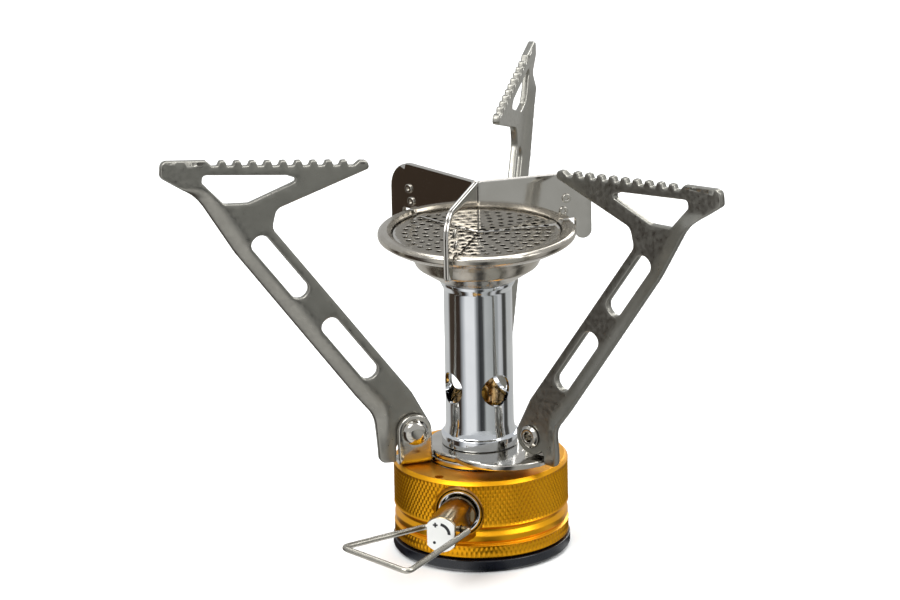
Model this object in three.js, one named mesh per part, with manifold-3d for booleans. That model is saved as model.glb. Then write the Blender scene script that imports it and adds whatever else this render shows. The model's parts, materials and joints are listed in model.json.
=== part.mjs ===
// Canister-top camping stove, in millimetres, +Z up.
// Origin: on the burner's axis, in the plane that the base stands on.
import * as THREE from 'three';
import { mergeVertices } from 'three/addons/utils/BufferGeometryUtils.js';
import Module from 'manifold-3d';

const wasm = await Module();
wasm.setup();

// ---- driving dimensions --------------------------------------------------
const gap = 0.3; // running gap between pieces that touch

// grip collar and ring under it
const collarRadius = 19;
const collarBottom = 3;
const collarTop = 20.6;
const ringRadius = 19.3;
const ringBore = 12.4;

// valve
const valveAzimuth = 254; // degrees, the way the valve stem points
const valveHeight = 13.2;
const socketRadius = 5.2; // crest radius of the 7/16-28 UNEF cartridge thread
const socketTop = 11.2;
const bodyRadius = 15.2;
const bossRadius = 6.3;
const bossTop = 30;
const portRadius = 5.25; // round hole in the collar that the stem comes out of
const stemRadius = 3.95;
const stemFlat = 3.15; // half the width across the stem's two flats
const stemEnd = 31.6;
const glandRadius = 4.95;
const gasChannel = 0.7;

// wire bail: corner points as along-stem, sideways and height over the stem's axis
const bailWire = 0.65;
const bailPivot = [26.3, 0, -0.4];
const bailAxis = new THREE.Vector3(0.28, 0.95, 0.12).normalize(); // line of the cross hole in the stem
const bailHole = 0.95;
const bailCornerNear = [42.6, -18.7, -0.5];
const bailCornerFar = [48.5, -2.5, -2.5];

// support arms and their brackets
const armAzimuth = { left: 197, right: 317, rear: 79 };
const sheet = 1.6; // arm thickness
const plate = 1.4; // bracket thickness
const pivotOut = 15.5;
const pivotHeight = 28.3;
const tabEnd = 18.9;
const earInner = sheet / 2 + 0.5; // the washer sits in this space
const earOuter = earInner + plate;
const ringOuter = 11.5;
const ringInner = 6.7;
const lowLevel = 19.1; // underside of the rear ring, let into the collar's top
const midLevel = 20.7;
const highLevel = 22.2;
const footBottom = { left: 21.2, right: 22.7, rear: 21.2 }; // each foot stands beside its bracket's tab

// burner
const tubeRadius = 7.4;
const tubeBore = 6.6;
const flangeBottom = 23.7;
const airHoleRadius = 3.5;
const airHoleHeight = 37.1;
const airHoleAzimuth = 32;
const cupNeck = 61;
const rimRadius = 21.4;
const rimTop = 72.1;
const plateTop = 71.2;

// windshield
const wingAzimuth = 15;
const wingTop = 82.6;
const wingReach = 25.6;
const wingSheet = 0.5;

// ---- small helpers -------------------------------------------------------
const rad = THREE.MathUtils.degToRad;

function toSolid(geometry) {
  const bare = geometry.clone();
  bare.deleteAttribute('normal');
  bare.deleteAttribute('uv');
  const merged = mergeVertices(bare, 1e-4);
  return new wasm.Manifold(new wasm.Mesh({
    numProp: 3,
    vertProperties: new Float32Array(merged.attributes.position.array),
    triVerts: new Uint32Array(merged.index.array),
  }));
}

function toGeometry(solid) {
  const mesh = solid.getMesh();
  const geometry = new THREE.BufferGeometry();
  geometry.setAttribute('position', new THREE.BufferAttribute(new Float32Array(mesh.vertProperties), 3));
  geometry.setIndex(new THREE.BufferAttribute(new Uint32Array(mesh.triVerts), 1));
  geometry.computeVertexNormals();
  return geometry;
}

function cut(base, ...tools) {
  return toGeometry(tools.reduce((solid, tool) => solid.subtract(toSolid(tool)), toSolid(base)));
}

function join(...pieces) {
  return toGeometry(pieces.map(toSolid).reduce((a, b) => a.add(b)));
}

// ring of revolution about Z: its [radius, height] section closes on itself
function turned(points, sides = 32) {
  const profile = points.map(([r, z]) => new THREE.Vector2(r, z));
  profile.push(profile[0].clone());
  return new THREE.LatheGeometry(profile, sides).rotateX(Math.PI / 2);
}

// solid bar of revolution about Z: its [radius, height] profile starts and ends on the axis
function turnedBar(points, sides = 24) {
  const profile = points.map(([r, z]) => new THREE.Vector2(r, z));
  return new THREE.LatheGeometry(profile, sides).rotateX(Math.PI / 2);
}

function rod(radius, from, to, sides = 16) {
  return turnedBar([[0, from], [radius, from], [radius, to], [0, to]], sides);
}

// turns a shape made about Z so that it lies along X
const alongX = (geometry) => geometry.rotateY(Math.PI / 2);

function box(x0, x1, y0, y1, z0, z1) {
  return new THREE.BoxGeometry(x1 - x0, y1 - y0, z1 - z0)
    .translate((x0 + x1) / 2, (y0 + y1) / 2, (z0 + z1) / 2);
}

// polygon with rounded corners: each point is [x, y, corner radius]
function roundedShape(points, steps = 5) {
  const out = [];
  points.forEach(([x, y, r = 0], i) => {
    const here = new THREE.Vector2(x, y);
    if (r === 0) {
      out.push(here);
      return;
    }
    const before = points[(i + points.length - 1) % points.length];
    const after = points[(i + 1) % points.length];
    const a = new THREE.Vector2(before[0], before[1]).sub(here).normalize();
    const b = new THREE.Vector2(after[0], after[1]).sub(here).normalize();
    const half = Math.acos(THREE.MathUtils.clamp(a.dot(b), -1, 1)) / 2;
    const reach = r / Math.tan(half);
    const start = here.clone().addScaledVector(a, reach);
    const end = here.clone().addScaledVector(b, reach);
    const centre = here.clone().addScaledVector(a.clone().add(b).normalize(), r / Math.sin(half));
    const a0 = Math.atan2(start.y - centre.y, start.x - centre.x);
    let sweep = Math.atan2(end.y - centre.y, end.x - centre.x) - a0;
    if (sweep > Math.PI) sweep -= 2 * Math.PI;
    if (sweep < -Math.PI) sweep += 2 * Math.PI;
    for (let k = 0; k <= steps; k += 1) {
      const t = a0 + (sweep * k) / steps;
      out.push(new THREE.Vector2(centre.x + r * Math.cos(t), centre.y + r * Math.sin(t)));
    }
  });
  return out.filter((point, i) => point.distanceTo(out[(i + 1) % out.length]) > 0.03);
}

function circle(x, y, r, sides = 20) {
  return Array.from({ length: sides }, (_, i) => {
    const t = (2 * Math.PI * i) / sides;
    return new THREE.Vector2(x + r * Math.cos(t), y + r * Math.sin(t));
  });
}

// flat sheet lying down: outline in (x, y), filling from low to high in z, with holes punched through
function flatSheet(outline, holes, low, high) {
  const slab = (points, from, to) => new THREE.ExtrudeGeometry(
    new THREE.Shape(points), { depth: to - from, bevelEnabled: false },
  ).translate(0, 0, from);
  const body = slab(outline, low, high);
  return holes.length === 0 ? body : cut(body, ...holes.map((points) => slab(points, low - 1, high + 1)));
}

// flat sheet standing on edge: outline in (outwards, up), filling sideways from low to high
function uprightSheet(outline, holes, low, high) {
  return flatSheet(outline, holes, -high, -low).rotateX(Math.PI / 2);
}

// ---- materials and scene graph ------------------------------------------
const finish = {
  gold: [0xd99a10, 0.9, 0.35],
  rubber: [0x10141f, 0, 0.5],
  brass: [0xb58a3c, 1, 0.35],
  chrome: [0xdfe2e6, 1, 0.08],
  steel: [0xa9a79f, 1, 0.35],
  polished: [0xcfccc6, 1, 0.18],
  label: [0xf2f2ef, 0, 0.5],
  seal: [0x1a1a1a, 0, 0.7],
};

const stove = new THREE.Group();

function piece(name, look, geometry, parent = stove) {
  const [color, metalness, roughness] = finish[look];
  const mesh = new THREE.Mesh(geometry, new THREE.MeshStandardMaterial({ color, metalness, roughness }));
  mesh.name = name;
  parent.add(mesh);
}

function turnedGroup(azimuth, height = 0) {
  const group = new THREE.Group();
  group.rotation.z = rad(azimuth);
  group.position.z = height;
  stove.add(group);
  return group;
}

// ---- base ring and grip collar ------------------------------------------
piece('base_ring', 'rubber', turned([
  [ringBore, 0.9], [14.6, 0.9], [15.4, 0], [18.5, 0], [ringRadius, 0.8],
  [ringRadius, collarBottom - 0.2], [ringBore, collarBottom - 0.2],
], 40));

const collarSkin = [
  [collarRadius - 0.6, collarBottom], [collarRadius, collarBottom + 0.5], [collarRadius, 6.1],
  [collarRadius - 0.6, 6.4], [collarRadius - 0.15, 7.3], [collarRadius - 0.15, 8.3],
  [collarRadius - 0.9, 9.1],
  [collarRadius - 0.9, 9.5], [collarRadius, 10.4], [collarRadius, 19.8], [collarRadius - 0.7, collarTop],
];
const collarInside = [
  [ringOuter + 0.1, collarTop], [ringOuter + 0.1, lowLevel - 0.1], [bossRadius + gap, lowLevel - 0.1],
  [bossRadius + gap, 17.6], [bodyRadius + gap, 17.6], [bodyRadius + gap, collarBottom],
];
const stemPort = alongX(rod(portRadius, 10, 24, 24));
const stemPortBevel = alongX(turnedBar([
  [0, 17.2], [portRadius - 0.2, 17.2], [portRadius + 3.2, 21], [0, 21],
], 24));
const towardsStem = (geometry) => geometry.translate(0, 0, valveHeight).rotateZ(rad(valveAzimuth));
const ventHole = rod(1, collarTop - 4, collarTop + 1, 16).translate(-9, -14.5, 0);
const bracketNotch = box(ringOuter - 1, 14.2, -2.4, earOuter + 0.4, lowLevel - 0.1, collarTop + 1)
  .rotateZ(rad(armAzimuth.rear));
piece('base_collar', 'gold', cut(
  turned([...collarSkin, ...collarInside], 40),
  towardsStem(stemPort), towardsStem(stemPortBevel), ventHole, bracketNotch,
));

// ---- valve body with its cartridge socket and gas ways -------------------
const bodyProfile = [
  [0, collarBottom + 0.1], [bodyRadius, collarBottom + 0.1], [bodyRadius, 17.3], [bossRadius, 17.3],
  [bossRadius, bossTop], [0, bossTop],
];
const glandBore = alongX(rod(glandRadius + 0.15, 11.9, 20, 24));
const needleChamber = alongX(rod(2.1, 2, 12.5, 16));
const needleSeat = alongX(rod(gasChannel, -0.3, 2.6, 8));
piece('valve_body', 'brass', cut(
  turnedBar(bodyProfile, 40),
  rod(socketRadius, 0, socketTop, 24),
  rod(1.3, socketTop - 1, socketTop + 1.2, 16),
  rod(0.45, socketTop - 1, socketTop + 0.6, 8).translate(2.5, 0, 0).rotateZ(rad(valveAzimuth)),
  towardsStem(glandBore), towardsStem(needleChamber), towardsStem(needleSeat),
  rod(gasChannel, valveHeight, bossTop + 1, 8),
  rod(1.9, 23, bossTop + 1, 12),
));
piece('cartridge_o_ring', 'seal', new THREE.TorusGeometry(4.05, 0.9, 6, 20).translate(0, 0, socketTop - 1));
piece('valve_pin', 'brass', turnedBar([
  [0, 6], [0.7, 6], [1, 6.4], [1, socketTop + 1], [0, socketTop + 1],
], 16));

// ---- gland, needle, stem and its wire bail -------------------------------
const valve = turnedGroup(valveAzimuth, valveHeight);
piece('gland_nut', 'chrome', alongX(turned([
  [2.25, 12.1], [glandRadius, 12.1], [glandRadius, 17.2], [glandRadius - 0.35, 17.6],
  [glandRadius - 0.65, 17.6], [glandRadius - 0.65, 14.3], [2.25, 14.3],
], 24)), valve);
piece('stem_o_ring', 'seal', alongX(
  new THREE.TorusGeometry(1.62, 0.42, 6, 14).translate(0, 0, 11.2),
), valve);
piece('valve_needle', 'steel', alongX(turnedBar([
  [0, 2.4], [0.35, 2.4], [1.2, 4.4], [1.2, 6.2], [0, 6.2],
], 20)), valve);

const stemHead = 14.9; // where the stem widens, inside the gland
const stemBar = alongX(turnedBar([
  [0, 6.5], [1.7, 6.5], [1.7, 9.6], [1.1, 9.6], [1.1, 12.6], [1.7, 12.6], [1.7, stemHead],
  [stemRadius - 0.3, stemHead], [stemRadius, stemHead + 0.3], [stemRadius, stemEnd], [0, stemEnd],
], 32));
const flatCut = (side) => (side > 0
  ? box(stemHead + 4, stemEnd + 1, stemFlat, 6, -6, 6)
  : box(stemHead + 4, stemEnd + 1, -6, -stemFlat, -6, 6));
const crossHole = new THREE.CylinderGeometry(bailHole, bailHole, 20, 12)
  .applyQuaternion(new THREE.Quaternion().setFromUnitVectors(new THREE.Vector3(0, 1, 0), bailAxis))
  .translate(...bailPivot);
piece('valve_stem', 'polished', cut(stemBar, flatCut(1), flatCut(-1), crossHole), valve);

// thin disc on the stem's end, cut off by the two flats as the stem is
const labelRadius = stemRadius - 0.15;
const labelOpen = Math.acos((stemFlat - 0.15) / labelRadius);
const labelOutline = [];
[0, Math.PI].forEach((turn) => {
  for (let k = 0; k <= 10; k += 1) {
    const t = turn + labelOpen + ((Math.PI - 2 * labelOpen) * k) / 10;
    labelOutline.push(new THREE.Vector2(labelRadius * Math.cos(t), labelRadius * Math.sin(t)));
  }
});
piece('stem_label', 'label', flatSheet(labelOutline, [], 0, 0.35)
  .applyMatrix4(new THREE.Matrix4().makeBasis(
    new THREE.Vector3(0, 1, 0), new THREE.Vector3(0, 0, 1), new THREE.Vector3(1, 0, 0),
  ))
  .translate(stemEnd + 0.1, 0, 0), valve);

// one closed wire loop: through the cross hole and round the two corners
const bailPoint = (list) => new THREE.Vector3(...list);
const bailHalf = 5.8; // from the stem's axis to where the wire turns away from the hole
const bailSide = (side) => bailPoint(bailPivot).addScaledVector(bailAxis, side * bailHalf);
const bailCorners = [bailSide(-1), bailPoint(bailCornerNear), bailPoint(bailCornerFar), bailSide(1)];
const bend = 1.4;
const bendSteps = 5;
const bailStations = [];
bailCorners.forEach((corner, i) => {
  const before = bailCorners[(i + 3) % 4].clone().sub(corner).normalize();
  const after = bailCorners[(i + 1) % 4].clone().sub(corner).normalize();
  const arc = new THREE.QuadraticBezierCurve3(
    corner.clone().addScaledVector(before, bend), corner, corner.clone().addScaledVector(after, bend),
  );
  bailStations.push(...arc.getPoints(bendSteps));
});

// round wire swept round a closed loop of stations that lie near one plane
function wireLoop(stations, planeNormal, radius, sides) {
  const count = stations.length;
  const position = [];
  const index = [];
  stations.forEach((point, i) => {
    const along = stations[(i + 1) % count].clone().sub(stations[(i + count - 1) % count]).normalize();
    const outwards = along.clone().cross(planeNormal).normalize();
    const upwards = outwards.clone().cross(along).normalize();
    for (let k = 0; k < sides; k += 1) {
      const t = (2 * Math.PI * k) / sides;
      position.push(...point.clone()
        .addScaledVector(outwards, radius * Math.cos(t))
        .addScaledVector(upwards, radius * Math.sin(t)).toArray());
    }
  });
  for (let i = 0; i < count; i += 1) {
    for (let k = 0; k < sides; k += 1) {
      const a = i * sides + k;
      const b = i * sides + ((k + 1) % sides);
      const c = ((i + 1) % count) * sides + k;
      const d = ((i + 1) % count) * sides + ((k + 1) % sides);
      index.push(a, d, b, a, c, d);
    }
  }
  const geometry = new THREE.BufferGeometry();
  geometry.setAttribute('position', new THREE.Float32BufferAttribute(position, 3));
  geometry.setIndex(index);
  geometry.computeVertexNormals();
  return geometry;
}
const bailNormal = bailCorners[1].clone().sub(bailCorners[0])
  .cross(bailCorners[2].clone().sub(bailCorners[0])).normalize();
piece('wire_bail', 'steel', wireLoop(bailStations, bailNormal, bailWire, 10), valve);

// ---- jet and burner tube -------------------------------------------------
piece('jet_filter', 'brass', rod(1.2, 24, 26, 12));
piece('jet', 'brass', cut(
  join(
    rod(1.6, 27, bossTop + 0.5, 16),
    new THREE.CylinderGeometry(3.1, 3.1, 3, 6).rotateX(Math.PI / 2).translate(0, 0, bossTop + 1.7),
    turnedBar([[0, bossTop + 3], [2.2, bossTop + 3], [1.9, 35.6], [1.3, 36.3], [0, 36.3]], 20),
  ),
  rod(0.5, 26, 37, 8),
));

const airHoles = [0, 1, 2, 3].map((i) => alongX(rod(airHoleRadius, 2, 12, 16))
  .translate(0, 0, airHoleHeight)
  .rotateZ(rad(airHoleAzimuth + 90 * i)));
piece('burner_tube', 'chrome', cut(
  turned([
    [tubeBore, flangeBottom], [8.4, flangeBottom], [8.4, 26], [8.1, 26.3], [7.7, 27], [tubeRadius, 28.4],
    [tubeRadius, 58.9], [8.1, 60.2], [8.1, cupNeck - 0.1], [tubeBore, cupNeck - 0.1],
  ], 32),
  ...airHoles,
));

// ---- burner cup, gauze and perforated plate ------------------------------
piece('burner_cup', 'polished', turned([
  [tubeBore + 0.1, cupNeck], [8.4, cupNeck], [13.4, 64.4], [14.3, 66.6], [15.2, 68.2], [18.8, 69],
  [20.4, 69.9], [rimRadius, 70.6], [rimRadius, 71.5], [20.7, rimTop], [19.2, rimTop], [18.4, 71.6],
  [18.4, 70.6], [18, 69.9], [14.6, 69.2], [13.5, 67], [12.7, 65.1], [8, 61.9], [tubeBore + 0.1, 61.9],
], 36));
piece('burner_gauze', 'steel', turned([[1, 69.9], [14, 69.9], [14, 70.15], [1, 70.15]], 32));

const plateHoles = [];
[[4.5, 6], [9, 10], [13.5, 14]].forEach(([radius, count]) => {
  for (let i = 0; i < count; i += 1) {
    const t = (2 * Math.PI * (i + 0.5)) / count;
    plateHoles.push(circle(radius * Math.cos(t), radius * Math.sin(t), 0.9, 6));
  }
});
piece('burner_plate', 'polished', flatSheet(circle(0, 0, 18.1, 36), plateHoles, plateTop - 0.6, plateTop));

// ---- windshield: three folded sheets, back to back -----------------------
const wingOutline = roundedShape([
  [0.5, plateTop + gap], [17.4, plateTop + gap], [18, rimTop + gap], [21.9, rimTop + gap],
  [21.9, 67.6, 1.7], [wingReach, 67.6, 1.7], [wingReach, wingTop, 5], [0.5, wingTop],
], 4);
const rivetSpots = [[20, 77], [19.3, 74.2]];
const wingHoles = rivetSpots.map(([r, z]) => circle(r, z, 0.75, 8));
Object.entries({ front_left: 1, front_right: 2, rear: 0 }).forEach(([side, turn]) => {
  const first = wingAzimuth + 120 * turn;
  const wing = (low, high) => uprightSheet(wingOutline, wingHoles, low, high);
  const fold = join(
    wing(0.05, 0.05 + wingSheet).rotateZ(rad(first)),
    wing(-0.05 - wingSheet, -0.05).rotateZ(rad(first + 120)),
    rod(0.55, plateTop + gap, wingTop, 16)
      .translate(1.15 * Math.cos(rad(first + 60)), 1.15 * Math.sin(rad(first + 60)), 0),
  );
  piece(`windshield_${side}`, 'polished', fold);
});
// tubular rivets that hold the sheets of each wing together
const eyelet = turned([
  [0.3, -0.85], [1.1, -0.85], [1.1, -0.62], [0.62, -0.62],
  [0.62, 0.62], [1.1, 0.62], [1.1, 0.85], [0.3, 0.85],
], 10);
['right', 'left', 'front'].forEach((side, i) => {
  const wingGroup = turnedGroup(wingAzimuth + 120 * i);
  rivetSpots.forEach(([r, z], k) => {
    const name = `wing_rivet_${side}_${k === 0 ? 'upper' : 'lower'}`;
    piece(name, 'polished', eyelet.clone().rotateX(Math.PI / 2).translate(r, 0, z), wingGroup);
  });
});

// ---- support arms --------------------------------------------------------
const topSlope = 0.1; // the toothed edge rises outwards
const firstValley = 27.8;
const topEdge = (u) => 89.3 + topSlope * (u - firstValley);
const toothPitch = 3.34;
const toothCount = 10; // valleys, with a tooth between each two
const toothDepth = 1.1;
const legSlope = 0.748; // how far the leg leans out for each millimetre up
const legLine = (z, offset) => 31.7 + legSlope * (z - 58.6) + offset;
const heelRadius = 4.2; // round end about the pivot

// outline in (outwards, up), each point with its corner radius
function armOutline(lowest) {
  const raised = (u, lift = toothDepth) => [u, topEdge(u) + lift];
  const points = [[23.7, 88.3, 0.7], [...raised(24.3), 0.9], raised(firstValley - 1.9)];
  for (let i = 0; i < toothCount; i += 1) {
    const valley = firstValley + i * toothPitch;
    const peak = valley + toothPitch / 2;
    points.push(raised(valley - 0.75, 0), raised(valley + 0.75, 0));
    if (i < toothCount - 1) {
      points.push(raised(peak - 0.55), raised(peak + 0.55));
    }
  }
  points.push(raised(59.6, 1.2), [...raised(69.6), 1.4], [69.9, 91, 1.2]);
  points.push([61.6, 85.4, 14], [53.6, 72.1, 12]);
  points.push([legLine(36.5, 12.3), 36.5, 8], [23.5, 31.6, 6], [22.9, lowest, 1.4], [19.2, lowest, 0.5]);
  points.push([19.2, 24.6]);
  for (let k = 0; k <= 9; k += 1) {
    const t = rad(-42 - 16.5 * k);
    points.push([pivotOut + heelRadius * Math.cos(t), pivotHeight + heelRadius * Math.sin(t)]);
  }
  points.push([legLine(36.8, 0) + 0.1, 36.8, 6], [45.6, 77.2, 2.2], [44.6, 81.4, 2.2]);
  return points;
}

// straight slot along the leg, between two heights, with round ends
function legSlot(low, high) {
  const lean = Math.atan(legSlope);
  const across = [2.05 * Math.cos(lean), -2.05 * Math.sin(lean)]; // half the slot's width
  const corner = (z, side) => [legLine(z, 5.15) + side * across[0], z + side * across[1], 1.6];
  return roundedShape([corner(low, -1), corner(low, 1), corner(high, 1), corner(high, -1)], 3);
}

const armWindow = roundedShape([
  [39.2, 87.4, 0.6], [42.2, 88.7, 1], [60.6, 90.6, 0.8],
  [60.8, 88.9, 0.8], [56, 83.6, 1.6], [50.6, 83.3, 1.6],
], 3);
const armHoles = [armWindow, legSlot(61.3, 75.4), legSlot(41.3, 55.3), circle(pivotOut, pivotHeight, 2.15, 16)];

// ---- brackets, stacked round the valve body under the tube's flange ------
const tabLow = -2; // the tab's edge away from the ear
const webCentre = [6.7, 0.5]; // the wide bracket's round web runs from its ring to its tab
const webRadius = 12.2;

function bracketPlan(wide) {
  const plan = [[tabEnd, earOuter, 0.6]];
  const addArc = (x, y, radius, from, to, steps) => {
    for (let k = 0; k <= steps; k += 1) {
      const t = from + ((to - from) * k) / steps;
      plan.push([x + radius * Math.cos(t), y + radius * Math.sin(t)]);
    }
  };
  const start = Math.asin(earOuter / ringOuter);
  if (wide) {
    addArc(0, 0, ringOuter, start, rad(283), 20);
    addArc(...webCentre, webRadius, rad(252), rad(346), 10);
    plan.push([tabEnd, tabLow + 0.4]);
  } else {
    addArc(0, 0, ringOuter, start, 2 * Math.PI + Math.asin(tabLow / ringOuter), 24);
    plan.push([tabEnd, tabLow, 1.2]);
  }
  return roundedShape(plan, 4);
}

const earHalf = 3.6;
function ear(from) {
  const outline = [
    new THREE.Vector2(pivotOut - earHalf, from), new THREE.Vector2(tabEnd, from),
    ...Array.from({ length: 13 }, (_, k) => {
      const t = (Math.PI * k) / 12;
      return new THREE.Vector2(pivotOut + earHalf * Math.cos(t), pivotHeight + earHalf * Math.sin(t));
    }),
  ];
  return uprightSheet(outline, [circle(pivotOut, pivotHeight, 2.05, 16)], earInner, earOuter);
}

const ringHole = circle(0, 0, ringInner, 32);
const brackets = {
  left: join(flatSheet(bracketPlan(false), [ringHole], midLevel, midLevel + plate), ear(midLevel)),
  right: join(flatSheet(bracketPlan(true), [ringHole], highLevel, highLevel + plate), ear(highLevel)),
  rear: join(
    flatSheet(circle(0, 0, ringOuter - gap, 32), [ringHole], lowLevel, lowLevel + plate),
    box(10.5, 13.6, tabLow, earOuter, lowLevel, lowLevel + plate),
    box(12.2, 13.6, tabLow, earOuter, lowLevel, midLevel + plate),
    box(12.2, tabEnd, tabLow, earOuter, midLevel, midLevel + plate),
    ear(midLevel),
  ),
};

// domed rivet: head outside the ear, hollow turned-over end outside the arm
const rivetShank = 1.9;
const pivotRivet = turned([
  [1.2, -1.7], [1.5, -1.75], [2.45, -1.35], [2.5, -1.05], [rivetShank, -0.95], [rivetShank, earOuter + 0.1],
  [2.85, earOuter + 0.1], [2.8, earOuter + 0.6], [2.2, earOuter + 1.15], [1.2, earOuter + 1.5],
  [0.3, earOuter + 1.6], [0.3, 0.9], [1.2, 0.9],
], 16);
const washer = turned([[2.1, 0], [3.3, 0], [3.3, 0.3], [2.1, 0.3]], 16);

for (const [side, azimuth] of Object.entries(armAzimuth)) {
  const group = turnedGroup(azimuth);
  piece(`bracket_${side}`, 'polished', brackets[side], group);
  const outline = roundedShape(armOutline(footBottom[side]), 3);
  piece(`arm_${side}`, 'steel', uprightSheet(outline, armHoles, -sheet / 2, sheet / 2), group);
  piece(`pivot_rivet_${side}`, 'polished', pivotRivet.clone()
    .rotateX(-Math.PI / 2).translate(pivotOut, 0, pivotHeight), group);
  piece(`pivot_washer_${side}`, 'polished', washer.clone()
    .rotateX(-Math.PI / 2).translate(pivotOut, sheet / 2 + 0.1, pivotHeight), group);
}

export default stove;
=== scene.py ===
import json
import math

import bmesh
import bpy
import numpy as np
from mathutils import Matrix, Vector
from mathutils.geometry import delaunay_2d_cdt


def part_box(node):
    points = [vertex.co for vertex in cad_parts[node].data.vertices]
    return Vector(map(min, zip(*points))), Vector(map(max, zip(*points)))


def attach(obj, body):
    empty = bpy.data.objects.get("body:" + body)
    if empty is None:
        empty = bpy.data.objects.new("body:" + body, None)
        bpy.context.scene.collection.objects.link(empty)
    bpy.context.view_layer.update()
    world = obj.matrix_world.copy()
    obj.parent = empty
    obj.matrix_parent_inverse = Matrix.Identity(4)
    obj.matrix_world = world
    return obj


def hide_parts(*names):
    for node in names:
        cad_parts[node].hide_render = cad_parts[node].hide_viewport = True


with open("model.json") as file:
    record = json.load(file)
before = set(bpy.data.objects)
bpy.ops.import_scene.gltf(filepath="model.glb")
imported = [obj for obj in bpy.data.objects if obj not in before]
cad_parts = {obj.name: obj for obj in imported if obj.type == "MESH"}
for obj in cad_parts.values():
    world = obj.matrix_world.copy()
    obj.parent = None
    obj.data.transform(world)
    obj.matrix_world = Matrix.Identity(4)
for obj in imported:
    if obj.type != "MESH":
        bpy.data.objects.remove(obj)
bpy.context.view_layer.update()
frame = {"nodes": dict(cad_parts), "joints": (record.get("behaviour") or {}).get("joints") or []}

# Shapes are worked out in millimetres and put into the meshes in metres.
mm = 0.001


joints = {j["name"]: j for j in frame["joints"]}


def nodeBox(node):
    low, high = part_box(node)
    return np.array(low) / mm, np.array(high) / mm


def azimuthOf(vector):
    return math.degrees(math.atan2(vector[1], vector[0]))


pivotPlaces = {side: np.array(joints[side + "_fold"]["pos_m"]) / mm for side in ("left", "right", "rear")}
armAzimuth = {side: azimuthOf(place) for side, place in pivotPlaces.items()}
bracketBodies = {"left": "left_bracket", "right": "right_bracket", "rear": "base"}
pivotOut = float(np.hypot(*pivotPlaces["left"][:2]))
pivotHeight = float(pivotPlaces["left"][2])
stemAzimuth = azimuthOf(joints["needle_travel"]["axis"])
valveHeight = joints["stem_turn"]["pos_m"][2] / mm
ringLow, ringHigh = nodeBox("base_ring")
collarLow, collarHigh = nodeBox("base_collar")
tubeLow, tubeHigh = nodeBox("burner_tube")
cupLow, cupHigh = nodeBox("burner_cup")
plateLow, plateHigh = nodeBox("burner_plate")
wingLow, wingHigh = nodeBox("windshield_rear")
collarRadius = (collarHigh[0] - collarLow[0]) / 2
rimRadius = (cupHigh[0] - cupLow[0]) / 2


cameraSet = {
    "place": (0.0, -1.2806, 0.479),
    "pitch": 0.3191,  # radians below the horizon
    "yaw": -0.0047,
    "roll": -0.0189,
    "lens": 249.8,
}


def makeCamera():
    pitch, yaw, roll = (cameraSet[key] for key in ("pitch", "yaw", "roll"))
    forward = Vector((math.sin(yaw) * math.cos(pitch), math.cos(yaw) * math.cos(pitch), -math.sin(pitch)))
    right = Vector((math.cos(yaw), -math.sin(yaw), 0))
    up = right.cross(forward)
    tilted = right * math.cos(roll) + up * math.sin(roll)
    upright = up * math.cos(roll) - right * math.sin(roll)
    data = bpy.data.cameras.new("camera")
    data.lens = cameraSet["lens"]
    data.sensor_width = 36
    data.clip_start, data.clip_end = 0.05, 50
    camera = bpy.data.objects.new("camera", data)
    turn = Matrix((tilted, upright, -forward)).transposed().to_4x4()
    camera.matrix_world = Matrix.Translation(cameraSet["place"]) @ turn
    bpy.context.scene.collection.objects.link(camera)
    bpy.context.scene.camera = camera


makeCamera()
print("camera placed")


def unit(vectors):
    return vectors / (np.linalg.norm(vectors, axis=-1, keepdims=True) + 1e-12)


def smoothStep(x):
    # 0 below 0, 1 above 1, and 3x^2 - 2x^3 between them
    x = np.clip(x, 0, 1)
    return x * x * (3 - 2 * x)


def ridge(x):
    # 1 on whole numbers and 0 half way between them
    return np.abs(2 * (x - np.floor(x)) - 1)


def roundCorners(corners, steps=6):
    # Each corner [x, y, radius] becomes an arc that touches both of its edges:
    # centre = corner + bisector * radius / sin(half angle).
    table = np.array([tuple(corner) for corner in corners], float)
    here, radius = table[:, :2], table[:, 2:3]
    before = unit(np.roll(here, 1, 0) - here)
    after = unit(np.roll(here, -1, 0) - here)
    half = np.arccos(np.clip((before * after).sum(1, keepdims=True), -1, 1)) / 2
    half = np.maximum(half, 1e-3)
    centre = here + unit(before + after) * radius / np.sin(half)
    start = here + before * radius / np.tan(half) - centre
    end = here + after * radius / np.tan(half) - centre
    first = np.arctan2(start[:, 1], start[:, 0])
    sweep = np.arctan2(start[:, 0] * end[:, 1] - start[:, 1] * end[:, 0], (start * end).sum(1))
    angle = first[:, None] + sweep[:, None] * np.linspace(0, 1, steps + 1)[None, :]
    arcs = centre[:, None, :] + radius[:, None, :] * np.stack([np.cos(angle), np.sin(angle)], -1)
    arcs = np.where(radius[:, None, :] > 0, arcs, here[:, None, :]).reshape(-1, 2)
    keep = np.linalg.norm(arcs - np.roll(arcs, 1, 0), axis=1) > 1e-4
    return arcs[keep]


def denser(line, spacing, closed=True):
    # adds points so that no step is longer than spacing, and keeps every corner
    ends = np.vstack([line, line[:1]]) if closed else line
    along = np.concatenate([[0], np.cumsum(np.linalg.norm(np.diff(ends, axis=0), axis=1))])
    counts = np.maximum(np.ceil(np.diff(along) / spacing).astype(int), 1)
    starts = np.repeat(along[:-1], counts)
    steps = np.repeat(np.diff(along) / counts, counts)
    order = np.arange(counts.sum()) - np.repeat(np.cumsum(counts) - counts, counts)
    stations = starts + steps * order
    if not closed:
        stations = np.append(stations, along[-1])
    return np.stack([np.interp(stations, along, ends[:, k]) for k in range(ends.shape[1])], -1)


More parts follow.
